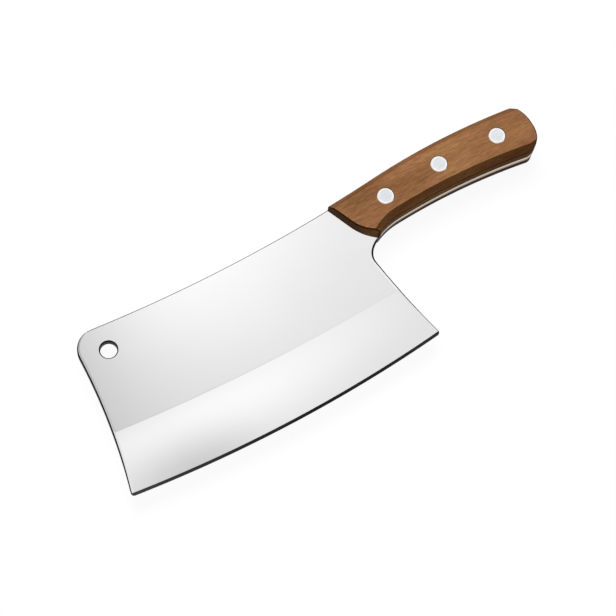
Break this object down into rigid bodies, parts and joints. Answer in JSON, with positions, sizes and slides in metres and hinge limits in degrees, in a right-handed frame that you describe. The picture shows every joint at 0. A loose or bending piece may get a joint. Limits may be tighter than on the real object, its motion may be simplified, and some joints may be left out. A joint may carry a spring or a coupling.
{
  "type": "cleaver kitchen knife",
  "caption": "Cleaver-shaped kitchen knife: deep double-ground steel blade with a hanging hole and full tang, between curved brown wooden scales held by flush rivets.",
  "frame": {"origin": "middle of the knife's box, on the surface that the far scale's outer face lies on", "axes": "+X from the tip end towards the butt, +Y from the cutting edge towards the spine, +Z out of the near scale's face"},
  "size_m": [0.2796, 0.0966, 0.022],
  "materials": {
    "blade_steel": "satin, ground lengthwise",
    "handle_wood": "smooth, resin-filled, semi-matt",
    "rivet_metal": "satin, flush with the scales"
  },
  "bodies": {
    "root": {"blade": "blade_steel", "near_scale": "handle_wood", "far_scale": "handle_wood", "rivet_stud_1": "rivet_metal", "rivet_stud_2": "rivet_metal", "rivet_stud_3": "rivet_metal", "rivet_socket_1": "rivet_metal", "rivet_socket_2": "rivet_metal", "rivet_socket_3": "rivet_metal"}
  },
  "joints": []
}
